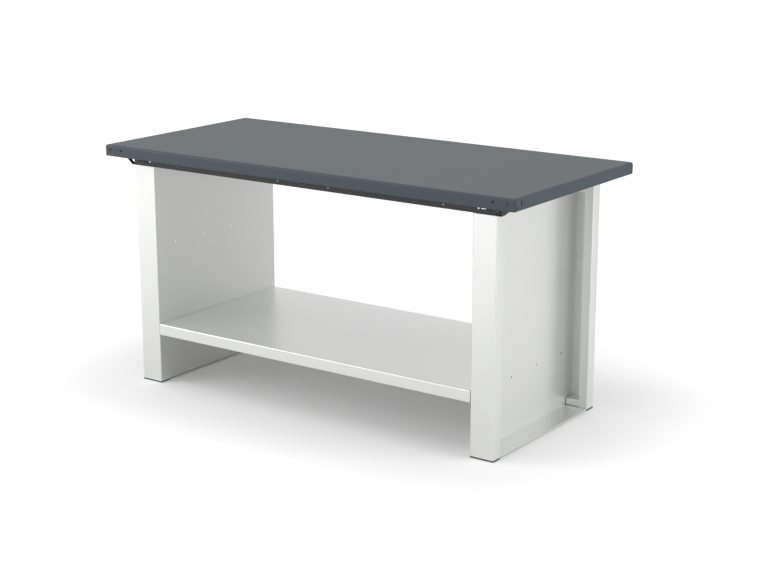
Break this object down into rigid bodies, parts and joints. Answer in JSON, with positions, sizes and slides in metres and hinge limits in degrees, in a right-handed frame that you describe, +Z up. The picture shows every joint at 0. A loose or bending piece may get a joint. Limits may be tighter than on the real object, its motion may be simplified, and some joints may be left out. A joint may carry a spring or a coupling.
{
  "type": "workbench",
  "caption": "Steel workbench: folded worktop tray on a railed frame, two open-post end frames on flat pads, and a low shelf between them.",
  "frame": {"origin": "on the floor, under the middle of the bench", "axes": "+X along the bench to its right end, +Y from the front to the back, +Z up"},
  "size_m": [1.65, 0.75, 0.85],
  "materials": {
    "worktop_paint": "smooth satin blue-grey powder coat",
    "underframe_paint": "satin charcoal powder coat",
    "frame_paint": "satin light grey powder coat, fine orange peel",
    "pad_plastic": "matt moulded slate blue",
    "zinc_steel": "bright zinc plate",
    "black_steel": "blackened"
  },
  "bodies": {
    "root": {"worktop": "worktop_paint", "top_rib_1": "underframe_paint", "top_rib_2": "underframe_paint", "top_rib_3": "underframe_paint", "top_rib_4": "underframe_paint", "front_rail": "underframe_paint", "front_worktop_nut_1": "zinc_steel", "front_worktop_nut_2": "zinc_steel", "front_worktop_nut_3": "zinc_steel", "rear_rail": "underframe_paint", "rear_worktop_nut_1": "zinc_steel", "rear_worktop_nut_2": "zinc_steel", "rear_worktop_nut_3": "zinc_steel", "left_side_rail": "underframe_paint", "left_worktop_nut_1": "zinc_steel", "left_worktop_nut_2": "zinc_steel", "left_end_frame": "frame_paint", "right_side_rail": "underframe_paint", "right_worktop_nut_1": "zinc_steel", "right_worktop_nut_2": "zinc_steel", "right_end_frame": "frame_paint", "front_left_head_bracket": "frame_paint", "front_left_foot_bracket": "frame_paint", "front_left_foot_pad": "pad_plastic", "front_left_brace_rivet": "zinc_steel", "front_left_frame_bolt_1": "zinc_steel", "front_left_frame_bolt_2": "zinc_steel", "front_right_head_bracket": "frame_paint", "front_right_foot_bracket": "frame_paint", "front_right_foot_pad": "pad_plastic", "front_right_brace_rivet": "zinc_steel", "front_right_frame_bolt_1": "zinc_steel", "front_right_frame_bolt_2": "zinc_steel", "rear_left_head_bracket": "frame_paint", "rear_left_foot_bracket": "frame_paint", "rear_left_foot_pad": "pad_plastic", "rear_left_brace_rivet": "zinc_steel", "rear_left_frame_bolt_1": "zinc_steel", "rear_left_frame_bolt_2": "zinc_steel", "rear_right_head_bracket": "frame_paint", "rear_right_foot_bracket": "frame_paint", "rear_right_foot_pad": "pad_plastic", "rear_right_brace_rivet": "zinc_steel", "rear_right_frame_bolt_1": "zinc_steel", "rear_right_frame_bolt_2": "zinc_steel", "shelf": "frame_paint", "shelf_rib_1": "frame_paint", "shelf_rib_2": "frame_paint", "left_shelf_screw_1": "black_steel", "left_shelf_screw_2": "black_steel", "left_shelf_screw_3": "black_steel", "left_shelf_screw_4": "black_steel", "right_shelf_screw_1": "black_steel", "right_shelf_screw_2": "black_steel", "right_shelf_screw_3": "black_steel", "right_shelf_screw_4": "black_steel"}
  },
  "joints": []
}
